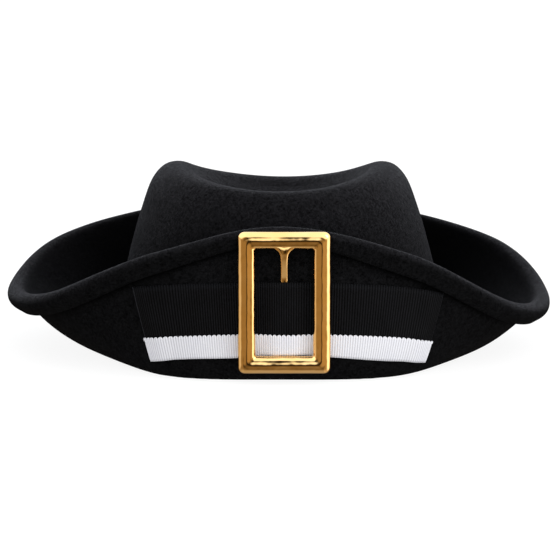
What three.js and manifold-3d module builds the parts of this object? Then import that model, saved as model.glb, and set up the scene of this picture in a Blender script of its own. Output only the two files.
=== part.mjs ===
// Two-cornered black felt hat: crown and brim are one piece of felt, the brim is turned up along the
// near and the far side and rolled outward at its edge. A wide black ribbon with a narrower white one
// over it lies on the near side, threaded through a cast slide buckle.
// Millimetres. X runs to the viewer's right, Y away from the viewer, Z up; the hat rests on Z = 0.
import * as THREE from "three";
import { mergeVertices } from "three/addons/utils/BufferGeometryUtils.js";
import Module from "manifold-3d";

// Felt body
const FELT = 2.2;
const BREAK_HALF_X = 85;
const BREAK_HALF_Y = 101;
const FOLD_START = 3.2;
const AROUND = 72;
const REST_BAND = 0.8;
const SAG_POWER = 1.5;
const WALL_STEPS = 8;
const ROLL_STEPS = 6;

// Crown rings, from the middle of the dent out over the rim and down to the brim break. Half sizes to
// the side, to the near and to the far side, then the height of the felt's middle at those places.
const CROWN_COLUMNS = ["side", "near", "far", "sideZ", "nearZ", "farZ"];
const CROWN = [
  [17, 24, 23, 66.6, 66.4, 66.2],
  [32, 45, 43, 73.0, 70.0, 69.0],
  [41.6, 57.5, 54.5, 85.3, 78.3, 72.6],
  [48.2, 65, 61, 91.1, 83.3, 75.9],
  [56.4, 72.5, 68.5, 90.8, 83.0, 76.5],
  [62.7, 79, 75.5, 85.0, 74.6, 70.4],
  [68.8, 86, 84.5, 70.0, 61.0, 58.5],
  [74.2, 91, 90.5, 51.0, 45.0, 43.5],
  [79.6, 95.5, 95.5, 28.5, 26.5, 26.0],
  [82.6, 98.8, 98.8, 12.0, 12.0, 12.0],
  [84.0, 100.2, 100.2, 5.2, 5.2, 5.2],
];
const DENT_Z = 66;

// Brim stations, evenly spaced around from the right corner. Reach and height of the brim's top edge
// from the break, lean of the wall there, foot is how far the brim stays low, wall is how straight it
// rises, roll is the radius of the rolled edge, tail its straight end and turn how far it is rolled.
const BRIM_COLUMNS = ["reach", "height", "lean", "foot", "wall", "roll", "tail", "turn"];
const BRIM = [
  [46.9, 28.9, 54.0, 19.0, 13.9, 3.9, 5.8, 200],
  [42.8, 45.0, 65.7, 14.9, 20.2, 3.7, 7.5, 206],
  [28.2, 55.8, 79.3, 14.8, 36.0, 3.2, 6.4, 206],
  [19.6, 60.7, 84.7, 14.8, 47.4, 2.8, 5.4, 204],
  [28.8, 57.7, 75.1, 14.5, 36.7, 3.2, 6.6, 206],
  [44.3, 47.2, 58.0, 14.8, 24.7, 3.7, 7.6, 206],
  [48.1, 32.6, 57.0, 19.0, 17.0, 3.9, 5.9, 200],
  [44.2, 35.5, 60.1, 15.0, 26.5, 3.3, 4.8, 210],
  [29.6, 61.0, 86.7, 20.0, 67.0, 2.7, 5.5, 200],
  [18.8, 74.4, 92.1, 18.9, 72.0, 2.3, 3.2, 202],
  [30.7, 61.0, 89.0, 19.5, 67.5, 2.7, 6.6, 198],
  [44.2, 31.0, 60.8, 16.1, 26.3, 3.3, 4.2, 210],
];

// Ribbons on the near wall of the brim
const RIBBON_T = 1.0;
const RIBBON_GAP = 0.4;
const LAYER_GAP = 0.3;
const RIBBON_ALONG = 60;
const BLACK_ACROSS = 5;
const WHITE_ACROSS = 2;
const RIBBON_REACH = 152;
const END_FOLD = 7;
const END_TAPER = 1;
const END_EXTRA = 0.5;
const WHITE_INSET = 1.4;
const BAR_LIFT = 2.1;
const LIFT_FROM = 12.6;
const LIFT_TO = 2.6;

// Ribbon places along its length: angle and height of the upper edge, angle and height of the lower
// edge, and height of the white ribbon's upper edge.
const RIBBON_COLUMNS = ["topAngle", "topZ", "lowAngle", "lowZ", "whiteZ"];
const RIBBON = [
  [233.5, 43.6, 236.2, 7.6, 18.9],
  [246.5, 46.4, 248.0, 11.2, 21.6],
  [259.0, 47.5, 259.8, 12.4, 23.2],
  [271.5, 48.0, 271.5, 14.9, 23.8],
  [285.0, 47.3, 284.3, 12.6, 23.1],
  [298.0, 45.2, 296.0, 10.2, 21.0],
  [311.0, 39.4, 306.8, 6.0, 17.0],
];

// Slide buckle
const BUCKLE_X = 2.0;
const BUCKLE_LOW = 5.5;
const BUCKLE_HIGH = 72.4;
const BUCKLE_W = 43.4;
const BUCKLE_BACK = -123.8;
const BAR_W = 8.2;
const OUTER_CORNER = 3.3;
const INNER_CORNER = 1.0;
const CORNER_STEPS = 5;

// Moulding across a frame bar: distance in from the outer edge and height above the back plane
const MOULDING = [
  [0, 0],
  [0, 1.7],
  [0.5, 2.6],
  [1.6, 3.3],
  [2.8, 3.4],
  [3.7, 2.8],
  [4.3, 2.8],
  [4.9, 3.5],
  [6.0, 3.8],
  [7.1, 3.4],
  [8.0, 2.3],
  [8.2, 1.4],
  [8.2, 0],
];

// Centre bar, from the upper frame bar down to the lower one: height, half width, front and back
const BAR_COLUMNS = ["z", "half", "front", "back"];
const BAR = [
  [66.0, 6.2, -126.2, -124.2],
  [64.4, 5.6, -126.6, -124.1],
  [63.2, 4.6, -126.6, -124.0],
  [61.8, 2.9, -126.4, -123.9],
  [60.2, 2.0, -126.0, -123.6],
  [56.5, 1.75, -124.9, -122.7],
  [52.8, 1.7, -123.2, -121.3],
  [49.8, 1.7, -121.9, -120.3],
  [40.0, 1.7, -121.8, -120.25],
  [28.0, 1.7, -121.8, -120.25],
  [18.6, 1.7, -121.7, -120.2],
  [14.8, 3.2, -121.1, -119.7],
  [13.4, 5.2, -122.0, -119.9],
  [12.2, 6.4, -125.0, -121.4],
  [10.0, 6.6, -125.6, -122.6],
];

// The whole is set so that the middle of its bounding box is above the origin
const SHIFT_X = 0.6;
const SHIFT_Y = 1.55;

const radians = THREE.MathUtils.degToRad;
const lerp = THREE.MathUtils.lerp;

function named(columns, row) {
  return Object.fromEntries(columns.map((name, i) => [name, row[i]]));
}

function cubic(a, b, c, d, f) {
  const square = 2 * a - 5 * b + 4 * c - d;
  return 0.5 * (2 * b + (c - a) * f + square * f * f + (3 * b - a - 3 * c + d) * f * f * f);
}

// Brim station at any angle, by a periodic cubic through the table
function brimAt(angle) {
  const count = BRIM.length;
  const turn = ((angle / 360) * count + count) % count;
  const i = Math.floor(turn);
  const f = turn - i;
  const row = BRIM[0].map((unused, k) => {
    const [a, b, c, d] = [-1, 0, 1, 2].map((step) => BRIM[(i + step + count) % count][k]);
    return cubic(a, b, c, d, f);
  });
  return named(BRIM_COLUMNS, row);
}

// Ribbon edges at a place from 0 to 1 along its length
function ribbonAt(place) {
  const last = RIBBON.length - 1;
  const i = Math.min(Math.floor(place * last), last - 1);
  const f = place * last - i;
  const row = RIBBON[0].map((unused, k) => {
    const [a, b, c, d] = [-1, 0, 1, 2].map((step) => RIBBON[Math.min(Math.max(i + step, 0), last)][k]);
    return cubic(a, b, c, d, f);
  });
  return named(RIBBON_COLUMNS, row);
}

// Middle of the felt along one angle, from the innermost crown ring to the end of the rolled edge
function sectionPoints(angle) {
  const c = Math.cos(radians(angle));
  const s = Math.sin(radians(angle));
  const sag = Math.abs(s) ** SAG_POWER;
  const points = CROWN.map((values) => {
    const row = named(CROWN_COLUMNS, values);
    const reach = s > 0 ? row.far : row.near;
    const level = s > 0 ? row.farZ : row.nearZ;
    return new THREE.Vector3(row.side * c, reach * s, lerp(row.sideZ, level, sag));
  });
  const brim = brimAt(angle);
  const outward = new THREE.Vector2(c / BREAK_HALF_X, s / BREAK_HALF_Y).normalize();
  const lean = radians(brim.lean);
  const top = new THREE.Vector2(brim.reach, brim.height - FELT / 2);
  const wallTop = new THREE.Vector2(
    top.x - brim.roll * Math.sin(lean),
    top.y - brim.roll * (1 - Math.cos(lean)),
  );
  const low = new THREE.Vector2(FOLD_START, FELT / 2);
  const foot = new THREE.Vector2(brim.foot, FELT / 2);
  const rise = new THREE.Vector2(
    wallTop.x - brim.wall * Math.cos(lean),
    wallTop.y - brim.wall * Math.sin(lean),
  );
  const wall = new THREE.CubicBezierCurve(low, foot, rise, wallTop);
  const flat = [];
  for (let k = 0; k <= WALL_STEPS; k++) {
    flat.push(wall.getPoint(k / WALL_STEPS));
  }
  const centre = new THREE.Vector2(
    wallTop.x + brim.roll * Math.sin(lean),
    wallTop.y - brim.roll * Math.cos(lean),
  );
  let heading = lean;
  for (let k = 1; k <= ROLL_STEPS; k++) {
    heading = lean - (radians(brim.turn) * k) / ROLL_STEPS;
    flat.push(
      new THREE.Vector2(
        centre.x - brim.roll * Math.sin(heading),
        centre.y + brim.roll * Math.cos(heading),
      ),
    );
  }
  const rolled = flat[flat.length - 1];
  for (const part of [0.5, 1]) {
    flat.push(
      new THREE.Vector2(
        rolled.x + part * brim.tail * Math.cos(heading),
        rolled.y + part * brim.tail * Math.sin(heading),
      ),
    );
  }
  for (const { x, y } of flat) {
    points.push(
      new THREE.Vector3(BREAK_HALF_X * c + outward.x * x, BREAK_HALF_Y * s + outward.y * x, y),
    );
  }
  return points;
}

const curves = new Map();
function sectionCurve(angle) {
  const key = angle.toFixed(4);
  if (!curves.has(key)) {
    curves.set(key, new THREE.CatmullRomCurve3(sectionPoints(angle), false, "centripetal"));
  }
  return curves.get(key);
}

// Point on the under side of the brim's near wall at an angle and a height, moved out from the felt
const FIRST_WALL = CROWN.length;
const LAST_WALL = CROWN.length + WALL_STEPS;
function onWall(angle, height, off) {
  const curve = sectionCurve(angle);
  const spans = curve.points.length - 1;
  let low = FIRST_WALL / spans;
  let high = LAST_WALL / spans;
  for (let k = 0; k < 30; k++) {
    const middle = (low + high) / 2;
    if (curve.getPoint(middle).z < height) {
      low = middle;
    } else {
      high = middle;
    }
  }
  const step = 0.002;
  const along = curve.getPoint(low + step).sub(curve.getPoint(low - step));
  const around = sectionCurve(angle + 0.5).getPoint(low).sub(sectionCurve(angle - 0.5).getPoint(low));
  const normal = around.cross(along).normalize();
  return curve.getPoint(low).addScaledVector(normal, FELT / 2 + off);
}

// Closed solid from two grids of points that face each other, joined along the four edges
function slab(outer, inner) {
  const rows = outer.length;
  const columns = outer[0].length;
  const positions = [];
  for (const grid of [outer, inner]) {
    for (const row of grid) {
      for (const point of row) {
        positions.push(point.x, point.y, point.z);
      }
    }
  }
  const id = (side, i, j) => side * rows * columns + i * columns + j;
  const index = [];
  const quad = (a, b, c, d) => index.push(a, b, c, a, c, d);
  for (let i = 0; i < rows - 1; i++) {
    for (let j = 0; j < columns - 1; j++) {
      quad(id(0, i, j), id(0, i + 1, j), id(0, i + 1, j + 1), id(0, i, j + 1));
      quad(id(1, i, j), id(1, i, j + 1), id(1, i + 1, j + 1), id(1, i + 1, j));
    }
    quad(id(0, i + 1, 0), id(0, i, 0), id(1, i, 0), id(1, i + 1, 0));
    quad(id(0, i, columns - 1), id(0, i + 1, columns - 1), id(1, i + 1, columns - 1), id(1, i, columns - 1));
  }
  for (let j = 0; j < columns - 1; j++) {
    quad(id(0, 0, j), id(0, 0, j + 1), id(1, 0, j + 1), id(1, 0, j));
    quad(id(0, rows - 1, j + 1), id(0, rows - 1, j), id(1, rows - 1, j), id(1, rows - 1, j + 1));
  }
  return solidGeometry(positions, index);
}

function solidGeometry(positions, index) {
  const geometry = new THREE.BufferGeometry();
  geometry.setAttribute("position", new THREE.Float32BufferAttribute(positions, 3));
  geometry.setIndex(index);
  return geometry;
}

// Felt body: both faces of the felt are offset from its middle surface and meet in a pole in the dent
// and along the end of the rolled edge. The lowest part of the brim is flat, because it rests there.
function feltGeometry() {
  const rings = [];
  for (let j = 0; j < AROUND; j++) {
    rings.push(sectionPoints((360 * j) / AROUND));
  }
  const count = rings[0].length;
  const positions = [0, 0, DENT_Z + FELT / 2, 0, 0, DENT_Z - FELT / 2];
  const id = (face, ring, j) => 2 + face * count * AROUND + ring * AROUND + (j % AROUND);
  for (const face of [1, -1]) {
    for (let i = 0; i < count; i++) {
      for (let j = 0; j < AROUND; j++) {
        const before = rings[(j + AROUND - 1) % AROUND][i];
        const after = rings[(j + 1) % AROUND][i];
        const inner = i === 0 ? new THREE.Vector3(0, 0, DENT_Z) : rings[j][i - 1];
        const outer = rings[j][Math.min(i + 1, count - 1)];
        const normal = after.clone().sub(before).cross(outer.clone().sub(inner)).normalize();
        const point = rings[j][i].clone().addScaledVector(normal, (-face * FELT) / 2);
        const resting = face < 0 && i >= FIRST_WALL && point.z < REST_BAND;
        positions.push(point.x, point.y, resting ? 0 : point.z);
      }
    }
  }
  const index = [];
  const quad = (a, b, c, d) => index.push(a, b, c, a, c, d);
  for (let j = 0; j < AROUND; j++) {
    index.push(0, id(0, 0, j), id(0, 0, j + 1));
    index.push(1, id(1, 0, j + 1), id(1, 0, j));
    for (let i = 0; i < count - 1; i++) {
      quad(id(0, i, j), id(0, i + 1, j), id(0, i + 1, j + 1), id(0, i, j + 1));
      quad(id(1, i, j), id(1, i, j + 1), id(1, i + 1, j + 1), id(1, i + 1, j));
    }
    quad(id(0, count - 1, j), id(1, count - 1, j), id(1, count - 1, j + 1), id(0, count - 1, j + 1));
  }
  return solidGeometry(positions, index);
}

// How far the ribbons stand off the felt where they pass over the buckle's centre bar
function barLift(x) {
  const reach = Math.abs(x - BUCKLE_X);
  const part = THREE.MathUtils.clamp((LIFT_FROM - reach) / (LIFT_FROM - LIFT_TO), 0, 1);
  return BAR_LIFT * part * part * (3 - 2 * part);
}

// A ribbon's ends are turned under and pressed flat, so the strip is thicker there
function stripThickness(distance) {
  const part = THREE.MathUtils.clamp((END_FOLD + END_TAPER - distance) / END_TAPER, 0, 1);
  return RIBBON_T + END_EXTRA * part;
}

function strip(inset, across, edges, clearance) {
  const outer = [];
  const inner = [];
  for (let i = 0; i <= RIBBON_ALONG; i++) {
    const distance = lerp(inset, RIBBON_REACH - inset, i / RIBBON_ALONG);
    const fromEnd = Math.min(distance, RIBBON_REACH - distance);
    const thickness = stripThickness(fromEnd - inset);
    const row = ribbonAt(distance / RIBBON_REACH);
    const outerRow = [];
    const innerRow = [];
    for (let j = 0; j <= across; j++) {
      const [angle, height] = edges(row, j / across);
      const x = onWall(angle, height, 0).x;
      const off = clearance(fromEnd) + barLift(x);
      outerRow.push(onWall(angle, height, off + thickness));
      innerRow.push(onWall(angle, height, off));
    }
    outer.push(outerRow);
    inner.push(innerRow);
  }
  return slab(outer, inner);
}

function blackGeometry() {
  const edges = (row, part) => [
    lerp(row.lowAngle, row.topAngle, part),
    lerp(row.lowZ, row.topZ, part),
  ];
  return strip(0, BLACK_ACROSS, edges, () => RIBBON_GAP);
}

function whiteGeometry() {
  const edges = (row, part) => {
    const height = lerp(row.lowZ, row.whiteZ, part);
    const share = (height - row.lowZ) / (row.topZ - row.lowZ);
    return [lerp(row.lowAngle, row.topAngle, share), height];
  };
  const clearance = (fromEnd) => RIBBON_GAP + stripThickness(fromEnd) + LAYER_GAP;
  return strip(WHITE_INSET, WHITE_ACROSS, edges, clearance);
}

// Rectangle with rounded corners in the buckle's plane, as points that run around it
function roundedRing(halfW, halfH, corner) {
  const points = [];
  for (let quarter = 0; quarter < 4; quarter++) {
    const signX = quarter === 0 || quarter === 3 ? 1 : -1;
    const signZ = quarter < 2 ? 1 : -1;
    for (let k = 0; k < CORNER_STEPS; k++) {
      const angle = radians(90 * quarter + (90 * k) / (CORNER_STEPS - 1));
      points.push([
        signX * (halfW - corner) + corner * Math.cos(angle),
        signZ * (halfH - corner) + corner * Math.sin(angle),
      ]);
    }
  }
  return points;
}

function frameGeometry() {
  const middle = (BUCKLE_LOW + BUCKLE_HIGH) / 2;
  const halfH = (BUCKLE_HIGH - BUCKLE_LOW) / 2;
  const positions = [];
  for (const [inward, height] of MOULDING) {
    const corner = lerp(OUTER_CORNER, INNER_CORNER, inward / BAR_W);
    for (const [x, z] of roundedRing(BUCKLE_W / 2 - inward, halfH - inward, corner)) {
      positions.push(BUCKLE_X + x, BUCKLE_BACK - height, middle + z);
    }
  }
  const around = 4 * CORNER_STEPS;
  const index = [];
  for (let i = 0; i < MOULDING.length; i++) {
    const next = (i + 1) % MOULDING.length;
    for (let j = 0; j < around; j++) {
      const k = (j + 1) % around;
      index.push(i * around + j, i * around + k, next * around + k);
      index.push(i * around + j, next * around + k, next * around + j);
    }
  }
  return solidGeometry(positions, index);
}

// Centre bar: eight-sided sections down its length, closed with a flat cap at each end
function barGeometry() {
  const corners = [
    [-1, 0.35],
    [-0.6, 1],
    [0.6, 1],
    [1, 0.35],
    [1, -0.6],
    [0.8, -1],
    [-0.8, -1],
    [-1, -0.6],
  ];
  const positions = [];
  for (const values of BAR) {
    const row = named(BAR_COLUMNS, values);
    const middle = (row.front + row.back) / 2;
    const half = (row.back - row.front) / 2;
    for (const [across, forward] of corners) {
      positions.push(BUCKLE_X + row.half * across, middle - half * forward, row.z);
    }
  }
  const sides = corners.length;
  const index = [];
  for (let i = 0; i < BAR.length - 1; i++) {
    for (let j = 0; j < sides; j++) {
      const k = (j + 1) % sides;
      index.push(i * sides + j, (i + 1) * sides + j, (i + 1) * sides + k);
      index.push(i * sides + j, (i + 1) * sides + k, i * sides + k);
    }
  }
  const last = (BAR.length - 1) * sides;
  for (let j = 1; j < sides - 1; j++) {
    index.push(0, j, j + 1);
    index.push(last, last + j + 1, last + j);
  }
  return solidGeometry(positions, index);
}

const wasm = await Module();
wasm.setup();

function toManifold(geometry) {
  const merged = mergeVertices(geometry, 1e-4);
  return new wasm.Manifold(
    new wasm.Mesh({
      numProp: 3,
      vertProperties: new Float32Array(merged.getAttribute("position").array),
      triVerts: new Uint32Array(merged.getIndex().array),
    }),
  );
}

function buckleGeometry() {
  const joined = toManifold(frameGeometry()).add(toManifold(barGeometry())).getMesh();
  return solidGeometry(Array.from(joined.vertProperties), Array.from(joined.triVerts));
}

function piece(name, geometry, color, roughness, metalness) {
  geometry.computeVertexNormals();
  const material = new THREE.MeshStandardMaterial({ color, roughness, metalness });
  const mesh = new THREE.Mesh(geometry, material);
  mesh.name = name;
  return mesh;
}

const hat = new THREE.Group();
hat.position.set(SHIFT_X, SHIFT_Y, 0);
hat.add(piece("felt_body", feltGeometry(), 0x17171a, 0.95, 0));
hat.add(piece("black_ribbon", blackGeometry(), 0x101012, 0.8, 0));
hat.add(piece("white_ribbon", whiteGeometry(), 0xe4e4ea, 0.75, 0));
hat.add(piece("buckle", buckleGeometry(), 0xd9b25a, 0.2, 1));

export default hat;
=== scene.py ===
import math

import bpy
import numpy as np
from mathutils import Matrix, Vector


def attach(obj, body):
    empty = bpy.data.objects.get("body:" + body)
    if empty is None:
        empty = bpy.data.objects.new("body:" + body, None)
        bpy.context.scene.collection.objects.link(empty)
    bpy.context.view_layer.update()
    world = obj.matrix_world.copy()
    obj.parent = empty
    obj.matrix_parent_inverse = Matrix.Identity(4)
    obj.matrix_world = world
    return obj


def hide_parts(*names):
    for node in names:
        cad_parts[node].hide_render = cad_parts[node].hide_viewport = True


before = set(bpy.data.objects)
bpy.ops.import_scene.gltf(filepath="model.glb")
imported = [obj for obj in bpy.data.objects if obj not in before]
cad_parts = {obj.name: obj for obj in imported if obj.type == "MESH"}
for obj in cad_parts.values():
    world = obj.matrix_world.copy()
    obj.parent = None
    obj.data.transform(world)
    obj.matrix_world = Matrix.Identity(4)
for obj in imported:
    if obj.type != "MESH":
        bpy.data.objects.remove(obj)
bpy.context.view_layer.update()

# Sizes are in millimetres up to to_mesh, and from the materials on in metres.
# X goes to the viewer's right, Y away from the viewer and Z up.
MM = 0.001
# Moves the middle of the hat's outer box to the origin
SHIFT = np.array([0.6, 1.55, 0.0])
# Smallest length that anything is divided by
TINY = 1e-6

# Felt: its thickness, the oval where the crown breaks into the brim, and how far out the brim starts
FELT = 2.2
BREAK_HALF_X = 85.0
BREAK_HALF_Y = 101.0
BRIM_START = 3.2
# Power of the crown's sag from both sides towards the near and the far side
SAG_POWER = 1.5
# Below this height the felt's unevenness fades out, so that the hat rests flat
EVEN_BELOW = 14.0
# Rounded cut edge: share of the half thickness, and how far that place stands out past the felt's end
CUT_EDGE = ((0.75, 0.35), (0.0, 0.5), (-0.75, 0.35))

# Crown rings from the middle of the dent down to the brim break: half size to the side, to the near
# and to the far side, then the height of the felt's middle at those places
CROWN = [
    (0, 0, 0, 66.0, 66.0, 66.0),
    (17, 24, 23, 66.6, 66.4, 66.2),
    (32, 45, 43, 73.0, 70.0, 69.0),
    (41.6, 57.5, 54.5, 85.3, 78.3, 72.6),
    (48.2, 65, 61, 91.1, 83.3, 75.9),
    (56.4, 72.5, 68.5, 90.8, 83.0, 76.5),
    (62.7, 79, 75.5, 85.0, 74.6, 70.4),
    (68.8, 86, 84.5, 70.0, 61.0, 58.5),
    (74.2, 91, 90.5, 51.0, 45.0, 43.5),
    (79.6, 95.5, 95.5, 28.5, 26.5, 26.0),
    (82.6, 98.8, 98.8, 12.0, 12.0, 12.0),
    (84.0, 100.2, 100.2, 5.2, 5.2, 5.2),
]

# Brim stations every 30 degrees from the right corner: reach and height of the top edge, lean of the
# wall, foot and wall as handles of the fold, radius of the rolled edge, its tail and how far it turns
BRIM_COLUMNS = ("reach", "height", "lean", "foot", "wall", "roll", "tail", "turn")
BRIM = [
    (46.9, 28.9, 54.0, 19.0, 13.9, 3.9, 5.8, 200),
    (42.8, 45.0, 65.7, 14.9, 20.2, 3.7, 7.5, 206),
    (28.2, 55.8, 79.3, 14.8, 36.0, 3.2, 6.4, 206),
    (19.6, 60.7, 84.7, 14.8, 47.4, 2.8, 5.4, 204),
    (28.8, 57.7, 75.1, 14.5, 36.7, 3.2, 6.6, 206),
    (44.3, 47.2, 58.0, 14.8, 24.7, 3.7, 7.6, 206),
    (48.1, 32.6, 57.0, 19.0, 17.0, 3.9, 5.9, 200),
    (44.2, 35.5, 60.1, 15.0, 26.5, 3.3, 4.8, 210),
    (29.6, 61.0, 86.7, 20.0, 67.0, 2.7, 5.5, 200),
    (18.8, 74.4, 92.1, 18.9, 72.0, 2.3, 3.2, 202),
    (30.7, 61.0, 89.0, 19.5, 67.5, 2.7, 6.6, 198),
    (44.2, 31.0, 60.8, 16.1, 26.3, 3.3, 4.2, 210),
]

# Fineness of the felt: control points on the wall, the roll and the tail, and samples between them
AROUND = 320
WALL_STEPS = 8
ROLL_STEPS = 6
TAIL_PARTS = (0.5, 1.0)
CROWN_FINE = 6
WALL_FINE = 4
ROLL_FINE = 3
TAIL_FINE = 2

# Both ribbons at even places along their length: angle and height of the black one's upper edge, angle
# and height of the lower edge of both, and height of the white one's upper edge
RIBBON_COLUMNS = ("top_angle", "top", "low_angle", "low", "white_top")
RIBBON = [
    (233.8, 43.9, 236.9, 8.8, 19.4),
    (246.5, 46.4, 248.0, 11.2, 21.6),
    (259.0, 47.5, 259.8, 12.4, 22.9),
    (271.5, 48.0, 271.5, 14.2, 23.1),
    (285.0, 47.3, 284.3, 12.6, 22.8),
    (298.0, 45.2, 296.0, 10.2, 21.0),
    (309.9, 40.8, 307.5, 7.9, 17.4),
]
RIBBON_REACH = 152.0
WHITE_SHORTER = 1.4
RIB_PITCH = 1.22
RIB_SAMPLES = 8
# Powers that round the cords and the picot loops, and the loops' middle level
RIB_ROUND = 0.8
PICOT_ROUND = 0.6
PICOT_LEVEL = 0.4
# Ends turned under: steps of the half turn, and where it starts in radii from the end. The upper layer
# eases down onto the felt from EASE_AFTER past the turned-under length, in EASE_STEPS. A lower layer
# within TUCK_ZONE of the end counts as turned under.
FOLD_STEPS = 10
FOLD_LEAD = 1.2
EASE_AFTER = 1.0
EASE_STEPS = 8
TUCK_ZONE = 8.0
# The upper corners spread within TIP_REACH of the ends, and a painted highlight lightens the fold's
# line by FOLD_HIGHLIGHT within FOLD_HIGHLIGHT_REACH
TIP_REACH = 3.0
FOLD_HIGHLIGHT_REACH = 0.8
FOLD_HIGHLIGHT = 2.0
# Over the buckle's bar a ribbon is lifted by LIFT, from LIFT_REACH beside the bar and over LIFT_EASE
LIFT = 2.45
LIFT_REACH = 12.6
LIFT_EASE = 10.0

# Buckle: place of its middle in X, lower and upper edge, width, its flat back, width of the frame's
# bars, and the corner radius outside and inside
BUCKLE_X = 2.0
BUCKLE_LOW = 5.5
BUCKLE_HIGH = 72.4
BUCKLE_W = 43.4
BUCKLE_BACK = -123.8
FRAME_W = 8.2
CORNER_OUT = 3.3
CORNER_IN = 1.0
CORNER_STEPS = 12
STRAIGHT_STEPS = 14

# Moulding across a frame bar: distance in from the outer edge and height above the back
MOULDING = [
    (0.12, 0.0), (0.0, 0.25), (0.0, 0.7), (0.05, 1.1), (0.15, 1.42), (0.35, 1.8), (0.6, 2.1),
    (0.95, 2.42), (1.35, 2.7), (1.7, 2.87), (2.0, 2.97), (2.25, 3.03), (2.5, 3.07), (2.75, 3.11),
    (3.1, 3.19), (3.5, 3.29), (3.9, 3.36), (4.15, 3.38), (4.4, 3.36), (4.8, 3.28), (5.2, 3.18),
    (5.6, 3.08), (5.9, 3.03), (6.2, 2.99), (6.45, 2.94), (6.7, 2.87), (6.95, 2.75), (7.25, 2.52),
    (7.55, 2.2), (7.8, 1.83), (8.0, 1.4), (8.15, 0.95), (8.2, 0.6), (8.2, 0.25), (8.08, 0.0),
]

# Centre bar from its head down to its foot: height, half width, front and back
BAR = [
    (67.0, 6.4, -126.0, -124.6),
    (65.6, 5.8, -126.6, -124.2),
    (64.4, 4.4, -126.9, -124.0),
    (63.4, 3.2, -127.0, -123.9),
    (62.3, 2.4, -126.9, -123.8),
    (61.0, 2.0, -126.5, -123.7),
    (59.0, 1.8, -125.9, -123.3),
    (56.0, 1.72, -124.8, -122.4),
    (52.6, 1.7, -123.2, -121.2),
    (49.8, 1.7, -121.95, -120.3),
    (45.0, 1.7, -121.8, -120.25),
    (40.0, 1.7, -121.8, -120.25),
    (28.0, 1.7, -121.8, -120.25),
    (18.6, 1.7, -121.7, -120.2),
    (15.8, 2.2, -121.3, -119.8),
    (14.6, 3.6, -121.6, -119.8),
    (13.6, 5.0, -123.6, -120.2),
    (12.6, 6.2, -125.4, -121.4),
    (11.0, 6.6, -125.8, -122.4),
]
BAR_SIDES = 20
BAR_FINE = 4
BAR_ROUND = 0.8
BAR_GROOVE = 0.45


# Curves and meshes
def cubic(a, b, c, d, f):
    """Smooth curve at share f of the way from b to c, with a before them and d after them."""
    square = 2 * a - 5 * b + 4 * c - d
    return 0.5 * (2 * b + (c - a) * f + square * f**2 + (3 * b - a - 3 * c + d) * f**3)


def smooth(x):
    """Eases from 0 to 1 while x goes from 0 to 1."""
    x = np.clip(x, 0.0, 1.0)
    return x * x * (3 - 2 * x)


def unit(vectors):
    """Vectors along the last axis, at length 1."""
    return vectors / np.maximum(np.linalg.norm(vectors, axis=-1, keepdims=True), TINY)


def along_sections(control, steps):
    """Centripetal spline through each row of control points, with steps[i] samples on span i."""
    first = 2 * control[:, :1] - control[:, 1:2]
    last = 2 * control[:, -1:] - control[:, -2:-1]
    p = np.concatenate([first, control, last], 1)
    out = []
    for i, count in enumerate(steps):
        a, b, c, d = p[:, i], p[:, i + 1], p[:, i + 2], p[:, i + 3]
        gap = [
            np.maximum(np.linalg.norm(v - u, axis=1, keepdims=True), TINY) ** 0.5
            for u, v in ((a, b), (b, c), (c, d))
        ]
        t1, t2 = gap[0], gap[0] + gap[1]
        t3 = t2 + gap[2]
        for k in range(count):
            t = t1 + (t2 - t1) * k / count
            ab = (t1 - t) / t1 * a + t / t1 * b
            bc = (t2 - t) / (t2 - t1) * b + (t - t1) / (t2 - t1) * c
            cd = (t3 - t) / (t3 - t2) * c + (t - t2) / (t3 - t2) * d
            abc = (t2 - t) / t2 * ab + t / t2 * bc
            bcd = (t3 - t) / (t3 - t1) * bc + (t - t1) / (t3 - t1) * cd
            out.append((t2 - t) / (t2 - t1) * abc + (t - t1) / (t2 - t1) * bcd)
    out.append(control[:, -1])
    return np.stack(out, 1)


def to_mesh(name, points, faces):
    """Smooth-shaded object from points in millimetres."""
    mesh = bpy.data.meshes.new(name)
    mesh.from_pydata(((points + SHIFT) * MM).tolist(), [], faces)
    mesh.validate()
    mesh.polygons.foreach_set("use_smooth", [True] * len(mesh.polygons))
    mesh.update()
    obj = bpy.data.objects.new(name, mesh)
    bpy.context.scene.collection.objects.link(obj)
    return obj


def ring_faces(rings, around, first=0, flip=False):
    """Quads between consecutive closed rings of points, which are numbered from first on."""
    faces = []
    for i in range(rings - 1):
        for j in range(around):
            k = (j + 1) % around
            quad = [first + i * around + j, first + (i + 1) * around + j]
            quad += [first + (i + 1) * around + k, first + i * around + k]
            faces.append(quad[::-1] if flip else quad)
    return faces


# Felt body
def brim_at(degrees):
    """Brim values at any angles, by column name."""
    rows = np.array(BRIM, float)
    count = len(rows)
    turn = (degrees / 360.0 * count) % count
    i = np.floor(turn).astype(int)
    picked = [rows[(i + step) % count] for step in (-1, 0, 1, 2)]
    values = cubic(*picked, (turn - i)[:, None])
    return {name: values[:, k] for k, name in enumerate(BRIM_COLUMNS)}


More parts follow.
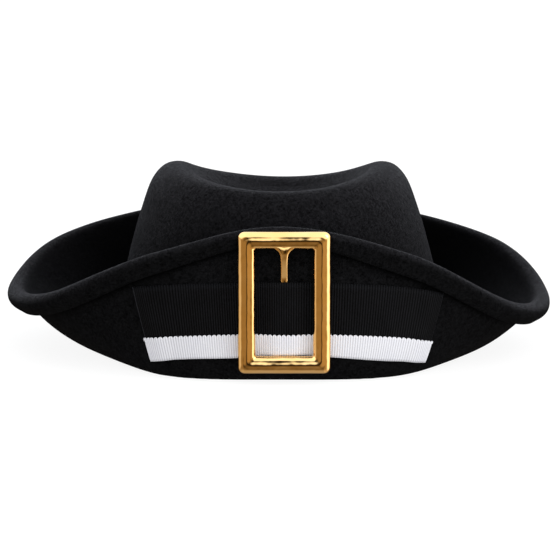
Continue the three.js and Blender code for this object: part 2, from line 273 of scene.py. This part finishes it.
def brim_profile(b):
    """Brim from the break to the rolled end, as pairs of distance outwards and height."""
    lean = np.radians(b["lean"])
    wall_x = b["reach"] - b["roll"] * np.sin(lean)
    wall_z = b["height"] - FELT / 2 - b["roll"] * (1 - np.cos(lean))
    rise_x = wall_x - b["wall"] * np.cos(lean)
    rise_z = wall_z - b["wall"] * np.sin(lean)
    profile = []
    for k in range(WALL_STEPS + 1):
        u = k / WALL_STEPS
        mix = ((1 - u) ** 3, 3 * (1 - u) ** 2 * u, 3 * (1 - u) * u * u, u**3)
        x = mix[0] * BRIM_START + mix[1] * b["foot"] + mix[2] * rise_x + mix[3] * wall_x
        z = (mix[0] + mix[1]) * FELT / 2 + mix[2] * rise_z + mix[3] * wall_z
        profile.append((x, z))
    centre_x = wall_x + b["roll"] * np.sin(lean)
    centre_z = wall_z - b["roll"] * np.cos(lean)
    for k in range(1, ROLL_STEPS + 1):
        heading = lean - np.radians(b["turn"]) * k / ROLL_STEPS
        profile.append((centre_x - b["roll"] * np.sin(heading), centre_z + b["roll"] * np.cos(heading)))
    rolled_x, rolled_z = profile[-1]
    for part in TAIL_PARTS:
        reach = part * b["tail"]
        profile.append((rolled_x + reach * np.cos(heading), rolled_z + reach * np.sin(heading)))
    return profile


def sections(degrees):
    """Control points of the felt's middle, one row for each angle, from the dent to the rolled end."""
    c, s = np.cos(np.radians(degrees)), np.sin(np.radians(degrees))
    sag = np.abs(s) ** SAG_POWER
    points = []
    for side, near, far, side_z, near_z, far_z in CROWN:
        reach = np.where(s > 0, far, near)
        level = np.where(s > 0, far_z, near_z)
        points.append(np.stack([side * c, reach * s, side_z + (level - side_z) * sag], 1))
    out = unit(np.stack([c / BREAK_HALF_X, s / BREAK_HALF_Y], 1))
    for x, z in brim_profile(brim_at(degrees)):
        points.append(np.stack([BREAK_HALF_X * c + out[:, 0] * x, BREAK_HALF_Y * s + out[:, 1] * x, z], 1))
    return np.stack(points, 1)


def sample_counts(crown, wall, roll, tail):
    """Samples on each span of a felt section."""
    return [crown] * len(CROWN) + [wall] * WALL_STEPS + [roll] * ROLL_STEPS + [tail] * len(TAIL_PARTS)


def unevenness(p):
    """Slow hand-made unevenness of the felt at points p, from waves of a few wavelengths each."""
    x, y, z = p[..., 0], p[..., 1], p[..., 2]
    broad = np.sin(x / 17.0 + 0.8) * np.sin(y / 23.0 - 0.4) * np.cos(z / 13.0)
    upright = np.sin(x / 9.5 + y / 31.0 + 2.1) * np.cos(z / 8.0 + x / 40.0)
    slanting = np.sin(y / 11.0 - x / 27.0 + 0.3) * np.sin(z / 19.0 + 1.0)
    return (0.22 * broad + 0.10 * upright + 0.12 * slanting) * smooth(z / EVEN_BELOW)


def surface_normals(grid):
    """Directions towards the underside. The first column is one point, the middle of the dent."""
    around = np.roll(grid, -1, 0) - np.roll(grid, 1, 0)
    along = np.empty_like(grid)
    along[:, 1:-1] = grid[:, 2:] - grid[:, :-2]
    along[:, 0] = grid[:, 1] - grid[:, 0]
    along[:, -1] = grid[:, -1] - grid[:, -2]
    normal = unit(np.cross(around, along))
    normal[:, 0] = (0, 0, -1)
    return normal


def build_felt():
    degrees = np.arange(AROUND) * 360.0 / AROUND
    middle = along_sections(sections(degrees), sample_counts(CROWN_FINE, WALL_FINE, ROLL_FINE, TAIL_FINE))
    fade = np.ones(middle.shape[1])
    fade[:CROWN_FINE] = np.linspace(0, 1, CROWN_FINE)
    middle = middle + surface_normals(middle) * (unevenness(middle) * fade)[..., None]
    half = surface_normals(middle) * FELT / 2
    upper = middle - half
    under = middle + half
    under[..., 2] = np.maximum(under[..., 2], 0.0)
    end = unit(middle[:, -1] - middle[:, -2])
    rings = [upper[:, i] for i in range(1, upper.shape[1])]
    rings += [middle[:, -1] - half[:, -1] * share + end * out for share, out in CUT_EDGE]
    rings += [under[:, i] for i in range(under.shape[1] - 1, 0, -1)]
    centres = np.array([upper[0, 0], under[0, 0]])
    first = len(centres)
    last = first + (len(rings) - 1) * AROUND
    faces = ring_faces(len(rings), AROUND, first)
    for j in range(AROUND):
        k = (j + 1) % AROUND
        faces.append([0, first + j, first + k])
        faces.append([1, last + k, last + j])
    return to_mesh("felt_hat", np.concatenate([centres] + rings), faces)


# The near wall of the brim as a table of places and directions, by angle and by height
WALL_CELL = 0.5
WALL_ANGLES = np.arange(226.0, 320.0 + WALL_CELL / 2, WALL_CELL)
WALL_HEIGHTS = np.arange(2.0, 60.0 + WALL_CELL / 2, WALL_CELL)
WALL_SAMPLES = 24
FOOT_SAMPLES = 2
# Keeps the cell beside the last place inside the table
TABLE_END = 1.001


def wall_table():
    """Place and direction for each cell, from the samples between the brim's foot and its roll."""
    degrees = np.concatenate([[WALL_ANGLES[0] - WALL_CELL], WALL_ANGLES, [WALL_ANGLES[-1] + WALL_CELL]])
    dense = along_sections(sections(degrees), sample_counts(1, WALL_SAMPLES, 1, 1))
    dense = dense[:, len(CROWN) + FOOT_SAMPLES : len(CROWN) + WALL_SAMPLES * WALL_STEPS]
    normal = unit(np.cross(dense[2:] - dense[:-2], np.gradient(dense, axis=1)[1:-1]))
    dense = dense[1:-1]
    table = np.empty((len(WALL_ANGLES), len(WALL_HEIGHTS), 6))
    for i in range(len(WALL_ANGLES)):
        for k in range(3):
            table[i, :, k] = np.interp(WALL_HEIGHTS, dense[i, :, 2], dense[i, :, k])
            table[i, :, 3 + k] = np.interp(WALL_HEIGHTS, dense[i, :, 2], normal[i, :, k])
    return table


WALL = wall_table()


def on_wall(angle, height, off):
    """Points at angle and height on the wall's outer face, off millimetres in front of the felt."""
    a = np.clip((angle - WALL_ANGLES[0]) / WALL_CELL, 0, len(WALL_ANGLES) - TABLE_END)
    h = np.clip((height - WALL_HEIGHTS[0]) / WALL_CELL, 0, len(WALL_HEIGHTS) - TABLE_END)
    i, j = np.floor(a).astype(int), np.floor(h).astype(int)
    across, up = (a - i)[:, None], (h - j)[:, None]
    low = WALL[i, j] * (1 - up) + WALL[i, j + 1] * up
    high = WALL[i + 1, j] * (1 - up) + WALL[i + 1, j + 1] * up
    value = low * (1 - across) + high * across
    place, normal = value[:, :3], unit(value[:, 3:])
    return place + normal * (FELT / 2 + off + unevenness(place))[:, None]


# Ribbons
def ribbon_at(share):
    """Ribbon values at shares of the length, by column name."""
    rows = np.array(RIBBON, float)
    last = len(rows) - 1
    i = np.clip(np.floor(share * last).astype(int), 0, last - 1)
    picked = [rows[np.clip(i + step, 0, last)] for step in (-1, 0, 1, 2)]
    values = cubic(*picked, (share * last - i)[:, None])
    return {name: values[:, k] for k, name in enumerate(RIBBON_COLUMNS)}


def across_ribbon(row, top, v):
    """Angle and height at share v of the way from the lower edge up to the edge in column top."""
    height = row["low"] + (row[top] - row["low"]) * v
    share = (height - row["low"]) / (row["top"] - row["low"])
    return row["low_angle"] + (row["top_angle"] - row["low_angle"]) * share, height


def bar_lift(x):
    """How far a ribbon stands off the felt where it passes over the buckle's centre bar."""
    return LIFT * smooth((LIFT_REACH - np.abs(x - BUCKLE_X)) / LIFT_EASE)


def from_ends(x, start):
    """Distance along a ribbon from its nearer end."""
    return np.minimum(x - start, x.max() - x)


def ribbon_path(length, under_off, over_off, flat_off, tuck, ease):
    """Middle line of a ribbon in its length and its distance from the felt, ends turned under."""
    turn = (over_off - under_off) / 2
    centre = (over_off + under_off) / 2
    path = [(tuck, under_off), (tuck / 2, under_off), (turn * FOLD_LEAD, under_off)]
    for k in range(1, FOLD_STEPS):
        angle = math.pi * k / FOLD_STEPS
        path.append((turn - turn * math.sin(angle), centre - turn * math.cos(angle)))
    path += [(turn * FOLD_LEAD, over_off), (tuck, over_off)]
    for k in range(1, EASE_STEPS + 1):
        f = k / EASE_STEPS
        path.append((tuck + EASE_AFTER + ease * f, over_off + (flat_off - over_off) * smooth(f)))
    half = np.array(path)
    other = half[::-1].copy()
    other[:, 0] = length - other[:, 0]
    return np.concatenate([half, other])


def resample(path, spacing):
    """Even places along a path and the path's softened points there."""
    step = np.linalg.norm(np.diff(path, axis=0), axis=1)
    run = np.concatenate([[0], np.cumsum(step)])
    places = np.linspace(0, run[-1], int(run[-1] / spacing) + 1)
    fine = np.stack([np.interp(places, run, path[:, k]) for k in range(2)], 1)
    kernel = np.array([1, 2, 3, 2, 1], float) / 9
    margin = len(kernel) // 2
    padded = np.pad(fine, ((margin, margin), (0, 0)), mode="reflect", reflect_type="odd")
    soft = np.stack([np.convolve(padded[:, k], kernel, mode="valid") for k in range(2)], 1)
    return places, soft


def ribbon_face(spot, rows, top, inset, tip, loops):
    """One face of a ribbon as a grid of points, from its line in length and distance from the felt."""
    length = np.clip(spot[:, 0] + inset, 0, RIBBON_REACH)
    outwards = np.where(spot[:, 0] < RIBBON_REACH / 2, -1, 1)
    spread = tip * smooth(1 - from_ends(spot[:, 0], 0.0) / TIP_REACH) * outwards
    grid = []
    for v in rows:
        at_top = v == rows[-1]
        row = ribbon_at((length + spread * at_top) / RIBBON_REACH)
        angle, height = across_ribbon(row, top, v)
        height = height + loops * at_top
        on_felt = on_wall(angle, height, np.zeros(len(spot)))
        grid.append(on_wall(angle, height, spot[:, 1] + bar_lift(on_felt[:, 0])))
    return np.stack(grid, 1)


def sheet_faces(count, across):
    """Faces of a closed strip: an outer grid of count by across points, then the inner one."""
    base = count * across
    faces = []
    for i in range(count - 1):
        for j in range(across - 1):
            a = i * across + j
            faces.append([a, a + across, a + across + 1, a + 1])
            faces.append([base + a, base + a + 1, base + a + across + 1, base + a + across])
        a, b = i * across, (i + 1) * across
        faces.append([b, a, base + a, base + b])
        a, b = a + across - 1, b + across - 1
        faces.append([a, b, base + b, base + a])
    for j in range(across - 1):
        faces.append([j, j + 1, base + j + 1, base + j])
        a = (count - 1) * across + j
        faces.append([a + 1, a, base + a, base + a + 1])
    return faces


def build_ribbon(name, path, rows, top, inset, tip, thickness, rib, picot):
    """Ribbed ribbon along a path. Its rib attribute is 0 between the cords, 1 on the cords, more at a fold,
    and places the material's painted shade and painted highlight.
    """
    places, line = resample(path, RIB_PITCH / RIB_SAMPLES)
    x = line[:, 0]
    tangent = unit(np.gradient(line, axis=0))
    side = np.stack([-tangent[:, 1], tangent[:, 0]], 1)
    cord = np.abs(np.sin(np.pi * places / RIB_PITCH)) ** RIB_ROUND
    swell = (thickness / 2 + rib * (cord - 0.5))[:, None]
    fold_end = path[FOLD_STEPS + 1, 1]
    tucked = (line[:, 1] < fold_end) & ((x < TUCK_ZONE) | (x > x.max() - TUCK_ZONE))
    loops = np.abs(np.sin(np.pi * places / (2 * RIB_PITCH))) ** PICOT_ROUND
    loops = picot * (loops - PICOT_LEVEL - tucked)
    grids = [ribbon_face(line + face * side * swell, rows, top, inset, tip, loops) for face in (1, -1)]
    points = np.concatenate([grid.reshape(-1, 3) for grid in grids])
    ribbon = to_mesh(name, points, sheet_faces(len(places), len(rows)))
    # Where the material paints shade between the cords and a highlight along the fold's line
    shade_and_highlight = cord + FOLD_HIGHLIGHT * (1 - smooth(from_ends(x, x.min()) / FOLD_HIGHLIGHT_REACH))
    values = np.tile(np.repeat(shade_and_highlight, len(rows)), len(grids))
    ribbon.data.attributes.new("rib", "FLOAT", "POINT").data.foreach_set("value", values)
    return ribbon


def build_black_ribbon():
    return build_ribbon(
        "black_grosgrain",
        ribbon_path(RIBBON_REACH, under_off=0.45, over_off=1.15, flat_off=0.5, tuck=7.5, ease=7.0),
        rows=np.linspace(0.0, 1.0, 13),
        top="top",
        inset=0.0,
        tip=0.0,
        thickness=0.4,
        rib=0.26,
        picot=0.12,
    )


def build_white_ribbon():
    length = RIBBON_REACH - WHITE_SHORTER
    return build_ribbon(
        "white_grosgrain",
        ribbon_path(length, under_off=1.8, over_off=2.42, flat_off=1.2, tuck=7.0, ease=9.0),
        rows=(0.0, 0.12, 0.3, 0.5, 0.7, 0.86, 0.94, 1.0),
        top="white_top",
        inset=WHITE_SHORTER / 2,
        tip=1.0,
        thickness=0.35,
        rib=0.22,
        picot=0.95,
    )


# Buckle
def rounded_ring(half_w, half_h, corner):
    """Points round a rectangle with rounded corners."""
    arcs = []
    for quarter, (side, up) in enumerate(((1, 1), (-1, 1), (-1, -1), (1, -1))):
        arc = []
        for k in range(CORNER_STEPS + 1):
            angle = math.radians(90 * (quarter + k / CORNER_STEPS))
            x = side * (half_w - corner) + corner * math.cos(angle)
            z = up * (half_h - corner) + corner * math.sin(angle)
            arc.append((x, z))
        arcs.append(arc)
    points = []
    for arc, following in zip(arcs, arcs[1:] + arcs[:1]):
        points += arc
        a, b = arc[-1], following[0]
        for k in range(1, STRAIGHT_STEPS):
            f = k / STRAIGHT_STEPS
            points.append((a[0] + (b[0] - a[0]) * f, a[1] + (b[1] - a[1]) * f))
    return np.array(points)


def build_frame():
    middle = (BUCKLE_LOW + BUCKLE_HIGH) / 2
    half_h = (BUCKLE_HIGH - BUCKLE_LOW) / 2
    rings = []
    for inward, height in MOULDING:
        corner = CORNER_OUT + (CORNER_IN - CORNER_OUT) * inward / FRAME_W
        ring = rounded_ring(BUCKLE_W / 2 - inward, half_h - inward, corner)
        depth = np.full(len(ring), BUCKLE_BACK - height)
        rings.append(np.stack([BUCKLE_X + ring[:, 0], depth, middle + ring[:, 1]], 1))
    points = np.concatenate(rings)
    faces = ring_faces(len(rings) + 1, len(rings[0]), flip=True)
    return points, [[v % len(points) for v in face] for face in faces]


def build_bar():
    """Centre bar with rounded sides and a shallow groove down its front."""
    control = np.array(BAR, float)[None]
    samples = along_sections(control[..., :3], [BAR_FINE] * (len(BAR) - 1))[0]
    backs = along_sections(control[..., [0, 1, 3]], [BAR_FINE] * (len(BAR) - 1))[0][:, 2]
    angle = np.arange(BAR_SIDES) * 2 * math.pi / BAR_SIDES
    c, s = np.cos(angle), np.sin(angle)
    across = np.sign(c) * np.abs(c) ** BAR_ROUND
    forward = np.sign(s) * np.abs(s) ** BAR_ROUND
    groove = np.where(np.arange(BAR_SIDES) == BAR_SIDES // 4, BAR_GROOVE, 0.0)
    rings = []
    for (z, half, front), back in zip(samples, backs):
        y = (front + back) / 2 - (back - front) / 2 * forward + groove
        rings.append(np.stack([BUCKLE_X + half * across, y, np.full(BAR_SIDES, z)], 1))
    faces = ring_faces(len(rings), BAR_SIDES, flip=True)
    last = (len(rings) - 1) * BAR_SIDES
    faces.append(list(range(BAR_SIDES))[::-1])
    faces.append([last + j for j in range(BAR_SIDES)])
    return np.concatenate(rings), faces


def build_buckle():
    frame_points, frame_faces = build_frame()
    bar_points, bar_faces = build_bar()
    faces = frame_faces + [[v + len(frame_points) for v in face] for face in bar_faces]
    return to_mesh("slide_buckle", np.concatenate([frame_points, bar_points]), faces)


# Materials
# Felt colours in shade and in light, mixed by how far a face turns up: painted light from above
FELT_IN_SHADE = (0.0036, 0.0036, 0.0039)
FELT_IN_LIGHT = (0.0068, 0.0067, 0.0076)
FELT_SHEEN = (0.8, 0.82, 0.9, 1.0)
BLACK_DARK = (0.0026, 0.0026, 0.0031)
BLACK_LIGHT = (0.0104, 0.0104, 0.0122)
WHITE_DARK = (0.86, 0.86, 0.93)
WHITE_LIGHT = (0.97, 0.97, 1.0)
GOLD_DEEP = (0.93, 0.55, 0.19)
GOLD_BRIGHT = (0.97, 0.60, 0.24)
# A mix node's factor, first colour, second colour and result, by number because their names repeat
MIX_FACTOR, MIX_FIRST, MIX_SECOND, MIX_RESULT = 0, 6, 7, 2


class Nodes:
    """Adds nodes to a shader tree and joins them."""

    def __init__(self, tree):
        self.tree = tree
        self.shader = tree.nodes.get("Principled BSDF")

    def add(self, kind, **values):
        node = self.tree.nodes.new("ShaderNode" + kind)
        for key, value in values.items():
            setattr(node, key, value)
        return node

    def put(self, value, socket):
        """Joins an output to a socket, or sets the socket to a number or a colour."""
        if isinstance(value, bpy.types.NodeSocket):
            self.tree.links.new(value, socket)
        else:
            socket.default_value = value

    def surface(self, **values):
        """Sets inputs of the main shader; an underscore in a name stands for a space."""
        for name, value in values.items():
            self.put(value, self.shader.inputs[name.replace("_", " ")])

    def noise(self, vector, scale, detail, roughness, distortion=0.0):
        node = self.add("TexNoise")
        node.inputs["Scale"].default_value = scale
        node.inputs["Detail"].default_value = detail
        node.inputs["Roughness"].default_value = roughness
        node.inputs["Distortion"].default_value = distortion
        self.put(vector, node.inputs["Vector"])
        return node.outputs["Fac"]

    def span(self, source, low, high, to_low=0.0, to_high=1.0, soft=False):
        """Carries low to high over to to_low to to_high, and stops at both ends."""
        node = self.add("MapRange", interpolation_type="SMOOTHSTEP" if soft else "LINEAR")
        for key, value in (("From Min", low), ("From Max", high), ("To Min", to_low), ("To Max", to_high)):
            node.inputs[key].default_value = value
        self.put(source, node.inputs["Value"])
        return node.outputs["Result"]

    def math(self, operation, a, b):
        node = self.add("Math", operation=operation)
        self.put(a, node.inputs[0])
        self.put(b, node.inputs[1])
        return node.outputs[0]

    def plus(self, a, b):
        return self.math("ADD", a, b)

    def times(self, a, b):
        return self.math("MULTIPLY", a, b)

    def larger(self, a, b):
        return self.math("MAXIMUM", a, b)

    def vector_math(self, operation, a, b):
        node = self.add("VectorMath", operation=operation)
        self.put(a, node.inputs[0])
        self.put(b, node.inputs[1])
        return node.outputs

    def mix_colour(self, factor, first, second):
        node = self.add("Mix", data_type="RGBA")
        self.put(factor, node.inputs[MIX_FACTOR])
        for socket, value in ((MIX_FIRST, first), (MIX_SECOND, second)):
            self.put((*value, 1.0) if isinstance(value, tuple) else value, node.inputs[socket])
        return node.outputs[MIX_RESULT]

    def scaled(self, vector, factor):
        node = self.add("VectorMath", operation="SCALE")
        self.put(vector, node.inputs[0])
        self.put(factor, node.inputs["Scale"])
        return node.outputs["Vector"]

    def split(self, vector):
        node = self.add("SeparateXYZ")
        self.put(vector, node.inputs["Vector"])
        return [node.outputs[axis] for axis in "XYZ"]

    def bump(self, height, strength, distance, before=None):
        node = self.add("Bump")
        node.inputs["Strength"].default_value = strength
        node.inputs["Distance"].default_value = distance
        self.put(height, node.inputs["Height"])
        if before is not None:
            self.put(before, node.inputs["Normal"])
        return node.outputs["Normal"]

    def place(self, scale=(1, 1, 1)):
        """Place on the object, stretched along its axes."""
        node = self.add("Mapping")
        node.inputs["Scale"].default_value = scale
        self.put(self.add("TexCoord").outputs["Object"], node.inputs["Vector"])
        return node.outputs["Vector"]


def new_material(name):
    material = bpy.data.materials.new(name)
    material.use_nodes = True
    return material, Nodes(material.node_tree)


def felt_painted_shade(n, normal):
    """Painted shade: darkens the felt in hollows and inside the brim, where the hat shades itself, less so
    towards the left and right corners.
    """
    shelter = n.add("AmbientOcclusion", samples=12, only_local=True)
    shelter.inputs["Distance"].default_value = 0.2
    open_air = n.times(n.math("POWER", shelter.outputs["AO"], 2.2), 1.5)
    open_air = n.math("MINIMUM", open_air, 1.0)
    outwards = n.vector_math("DOT_PRODUCT", n.place((5.6, 10.5, 0.0)), normal)["Value"]
    return n.times(open_air, n.span(outwards, -0.98, -0.3, 0.22, 1.0, soft=True))


def felt_material():
    material, n = new_material("black_wool_felt")
    where = n.place()
    mottle = n.noise(where, scale=210.0, detail=4.0, roughness=0.65, distortion=0.5)
    grain = n.noise(where, scale=760.0, detail=5.0, roughness=0.7, distortion=0.8)
    fibre = n.noise(n.place((1.0, 2.6, 0.7)), scale=1900.0, detail=3.0, roughness=0.65, distortion=1.6)
    other = n.noise(n.place((2.4, 0.8, 1.7)), scale=1700.0, detail=3.0, roughness=0.65, distortion=1.8)
    normal = n.add("NewGeometry").outputs["Normal"]
    # Painted shade in hollows and inside the brim, for the felt's colour and sheen
    open_air = felt_painted_shade(n, normal)
    # Painted light: faces turned up get the lit felt colour and a stronger sheen, as if lit from above
    upward = n.span(n.split(normal)[2], -0.15, 0.7, soft=True)
    lint = n.larger(n.span(fibre, 0.56, 0.72, 0.0, 1.4), n.span(other, 0.56, 0.72, 0.0, 1.4))
    # spread: the felt's own mottle, grain and lint, then darkened by the painted shade
    spread = n.plus(n.span(mottle, 0.32, 0.68, 0.66, 1.34), n.span(grain, 0.38, 0.66, -0.55, 1.25))
    spread = n.times(n.larger(n.plus(spread, lint), 0.15), open_air)
    # Painted sheen: stronger on faces turned up, as if lit from above, weaker in hollows, varied with the
    # grain
    painted_sheen = n.times(n.times(upward, open_air), n.span(grain, 0.35, 0.65, 0.4, 1.6))
    height = n.plus(n.times(grain, 0.6), n.times(n.larger(fibre, other), 0.7))
    fine = n.bump(height, strength=0.8, distance=0.0004)
    n.surface(
        Base_Color=n.scaled(n.mix_colour(upward, FELT_IN_SHADE, FELT_IN_LIGHT), spread),
        Normal=n.bump(mottle, strength=0.25, distance=0.0006, before=fine),
        Roughness=0.96,
        Specular_IOR_Level=0.02,
        Sheen_Weight=n.times(painted_sheen, 0.16),
        Sheen_Roughness=0.32,
        Sheen_Tint=FELT_SHEEN,
    )
    return material


def ribbon_material(name, dark, light, valley_shade, fold, roughness, sheen, specular):
    """Ribbed cloth. Painted shade darkens its colour between the cords to valley, and a painted highlight
    lightens the line of a fold by fold.
    """
    material, n = new_material(name)
    where = n.place()
    thread = n.noise(n.place((0.25, 0.25, 1.0)), scale=2600.0, detail=2.0, roughness=0.5)
    patch = n.noise(where, scale=90.0, detail=3.0, roughness=0.55)
    speck = n.noise(where, scale=1400.0, detail=2.0, roughness=0.5)
    amount = n.plus(n.span(patch, 0.3, 0.7, 0.0, 0.35), n.span(thread, 0.3, 0.7, 0.0, 0.4))
    amount = n.plus(amount, n.span(speck, 0.3, 0.7, 0.0, 0.25))
    rib = n.add("Attribute", attribute_name="rib").outputs["Fac"]
    shade = n.plus(n.span(rib, 0.35, 1.0, valley_shade, 1.0, soft=True), n.span(rib, 1.05, 2.0, 0.0, fold))
    n.surface(
        Base_Color=n.scaled(n.mix_colour(amount, dark, light), shade),
        Normal=n.bump(thread, strength=0.35, distance=0.00012),
        Roughness=n.span(patch, 0.3, 0.7, roughness - 0.05, roughness + 0.06),
        Specular_IOR_Level=specular,
        Sheen_Weight=sheen,
        Sheen_Roughness=0.4,
    )
    return material


def black_material():
    return ribbon_material(
        "black_grosgrain_ribbon",
        BLACK_DARK,
        BLACK_LIGHT,
        valley_shade=0.06,
        fold=5.0,
        roughness=0.6,
        sheen=0.01,
        specular=0.05,
    )


def white_material():
    return ribbon_material(
        "white_grosgrain_ribbon",
        WHITE_DARK,
        WHITE_LIGHT,
        valley_shade=0.74,
        fold=0.0,
        roughness=0.7,
        sheen=0.05,
        specular=0.2,
    )


def gold_material():
    material, n = new_material("polished_gold_metal")
    where = n.place()
    cloud = n.noise(where, scale=110.0, detail=2.0, roughness=0.5)
    fine = n.noise(where, scale=900.0, detail=2.0, roughness=0.5)
    uneven = n.bump(cloud, strength=0.5, distance=0.0012)
    n.surface(
        Base_Color=n.mix_colour(n.span(cloud, 0.3, 0.7), GOLD_DEEP, GOLD_BRIGHT),
        Normal=n.bump(fine, strength=0.05, distance=0.0001, before=uneven),
        Roughness=n.plus(n.span(cloud, 0.3, 0.7, 0.03, 0.07), n.span(fine, 0.4, 0.8, 0.0, 0.04)),
        Metallic=1.0,
    )
    return material


def dress(obj, material, node):
    """Gives a piece its material and hides the node of the frame that it stands for."""
    obj.data.materials.append(material)
    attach(obj, "root")
    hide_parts(node)


felt = build_felt()
dress(felt, felt_material(), "felt_body")

black = build_black_ribbon()
dress(black, black_material(), "black_ribbon")

white = build_white_ribbon()
dress(white, white_material(), "white_ribbon")

buckle = build_buckle()
dress(buckle, gold_material(), "buckle")

# Floor, lights and camera, in metres. The photograph is a square of PHOTO_PX, the camera looks down by
# CAMERA_RISE from CAMERA_FAR away, and aims AIM_DROP degrees lower to set the hat above the middle.
FLOOR_HALF = 6.0
FLOOR_GREY = (0.16, 0.16, 0.16, 1.0)
PLAIN_WHITE = (1.0, 1.0, 1.0, 1.0)
KEY_PLACE = (0.9, -0.7, 0.9)
KEY_AIM = (0.0, 0.0, 0.05)
KEY_SIZE = 0.6
KEY_POWER = 3.0
BACKDROP = (0.992, 0.992, 0.992)
ROOM_COLOUR = (0.36, 0.262, 0.138)
BOX_COLOUR = (1.0, 1.12, 1.3)
CAMERA_RISE = 7.5
CAMERA_FAR = 1.5
AIM_DROP = 0.685
PIVOT_HEIGHT = 0.05
LENS_PX = 2950.0
PHOTO_PX = 560.0
SENSOR = 36.0
VIEW_END = 50.0


def point_at(obj, place, aim):
    obj.location = place
    obj.rotation_euler = (Vector(aim) - Vector(place)).to_track_quat("-Z", "Y").to_euler()


def build_floor():
    """Pale floor under the hat, which takes its shadow but neither lights it nor shows in the metal."""
    mesh = bpy.data.meshes.new("floor")
    corners = [(FLOOR_HALF * x, FLOOR_HALF * y, 0) for x, y in ((-1, -1), (1, -1), (1, 1), (-1, 1))]
    mesh.from_pydata(corners, [], [(0, 1, 2, 3)])
    floor = bpy.data.objects.new("floor", mesh)
    bpy.context.scene.collection.objects.link(floor)
    material, n = new_material("pale_floor")
    n.surface(
        Base_Color=FLOOR_GREY,
        Emission_Color=PLAIN_WHITE,
        Emission_Strength=0.9,
        Roughness=0.9,
        Specular_IOR_Level=0.1,
    )
    mesh.materials.append(material)
    floor.visible_diffuse = False
    floor.visible_glossy = False


def build_key_light():
    data = bpy.data.lights.new("key", "AREA")
    data.shape = "RECTANGLE"
    data.size = KEY_SIZE
    data.size_y = KEY_SIZE
    data.energy = KEY_POWER
    light = bpy.data.objects.new("key", data)
    bpy.context.scene.collection.objects.link(light)
    point_at(light, KEY_PLACE, KEY_AIM)


def soft_light(n, x, y, z):
    """Light that matt cloth sees: stronger from above, from the right and from the viewer's side."""
    height = n.plus(n.span(z, -1.0, 0.0, 0.50, 0.86), n.span(z, 0.0, 1.0, 0.0, 0.44))
    facing = n.times(n.span(x, -1.0, 1.0, 0.57, 1.11), n.span(y, -1.0, 1.0, 1.36, 0.74))
    return n.scaled(PLAIN_WHITE[:3], n.times(height, facing))


def mirrored_studio(n, x, y, z):
    """What metal mirrors: a dim warm room, a soft box at each side, one overhead, a faint one below."""
    front = n.span(y, 0.25, -0.05)
    right = n.times(n.span(x, 0.55, 0.85, 0.0, 1.5, soft=True), front)
    left = n.times(n.span(x, -0.68, -0.9, 0.0, 0.42, soft=True), front)
    ceiling = n.span(z, 0.12, 0.34, 0.0, 1.45, soft=True)
    ground = n.span(z, -0.5, -0.9, 0.0, 0.25, soft=True)
    boxes = n.larger(n.larger(right, left), n.larger(ceiling, ground))
    beside = n.larger(n.span(x, 0.1, 0.32, 0.1, 1.4), n.span(x, -0.1, -0.29, 0.1, 0.98))
    beside = n.times(beside, n.span(z, -0.6, -0.1, 0.8, 1.0))
    room = n.larger(beside, n.span(z, -0.26, -0.5, 0.1, 0.62))
    room = n.times(room, n.span(y, 0.5, 0.0, 0.3, 1.0))
    return n.vector_math("ADD", n.scaled(ROOM_COLOUR, room), n.scaled(BOX_COLOUR, boxes))["Vector"]


def build_world():
    """White to the camera. Diffuse light comes from one set of surroundings, reflections from another."""
    world = bpy.data.worlds.new("studio")
    bpy.context.scene.world = world
    world.use_nodes = True
    n = Nodes(world.node_tree)
    x, y, z = n.split(n.add("TexCoord").outputs["Generated"])
    rays = n.add("LightPath").outputs
    bounced = n.mix_colour(rays["Is Glossy Ray"], soft_light(n, x, y, z), mirrored_studio(n, x, y, z))
    seen = n.mix_colour(rays["Is Camera Ray"], bounced, BACKDROP)
    n.put(seen, n.tree.nodes["Background"].inputs["Color"])


def build_camera():
    data = bpy.data.cameras.new("camera")
    data.sensor_fit = "HORIZONTAL"
    data.sensor_width = SENSOR
    data.lens = LENS_PX / PHOTO_PX * SENSOR
    data.clip_end = VIEW_END
    camera = bpy.data.objects.new("camera", data)
    bpy.context.scene.collection.objects.link(camera)
    bpy.context.scene.camera = camera
    rise = math.radians(CAMERA_RISE)
    down = math.radians(CAMERA_RISE + AIM_DROP)
    pivot = SHIFT * MM + np.array([0.0, 0.0, PIVOT_HEIGHT])
    place = pivot + CAMERA_FAR * np.array([0.0, -math.cos(rise), math.sin(rise)])
    aim = place + np.array([0.0, math.cos(down), -math.sin(down)])
    point_at(camera, place.tolist(), aim.tolist())


build_floor()
build_world()
build_key_light()
build_camera()

bpy.context.scene.view_settings.view_transform = "Standard"
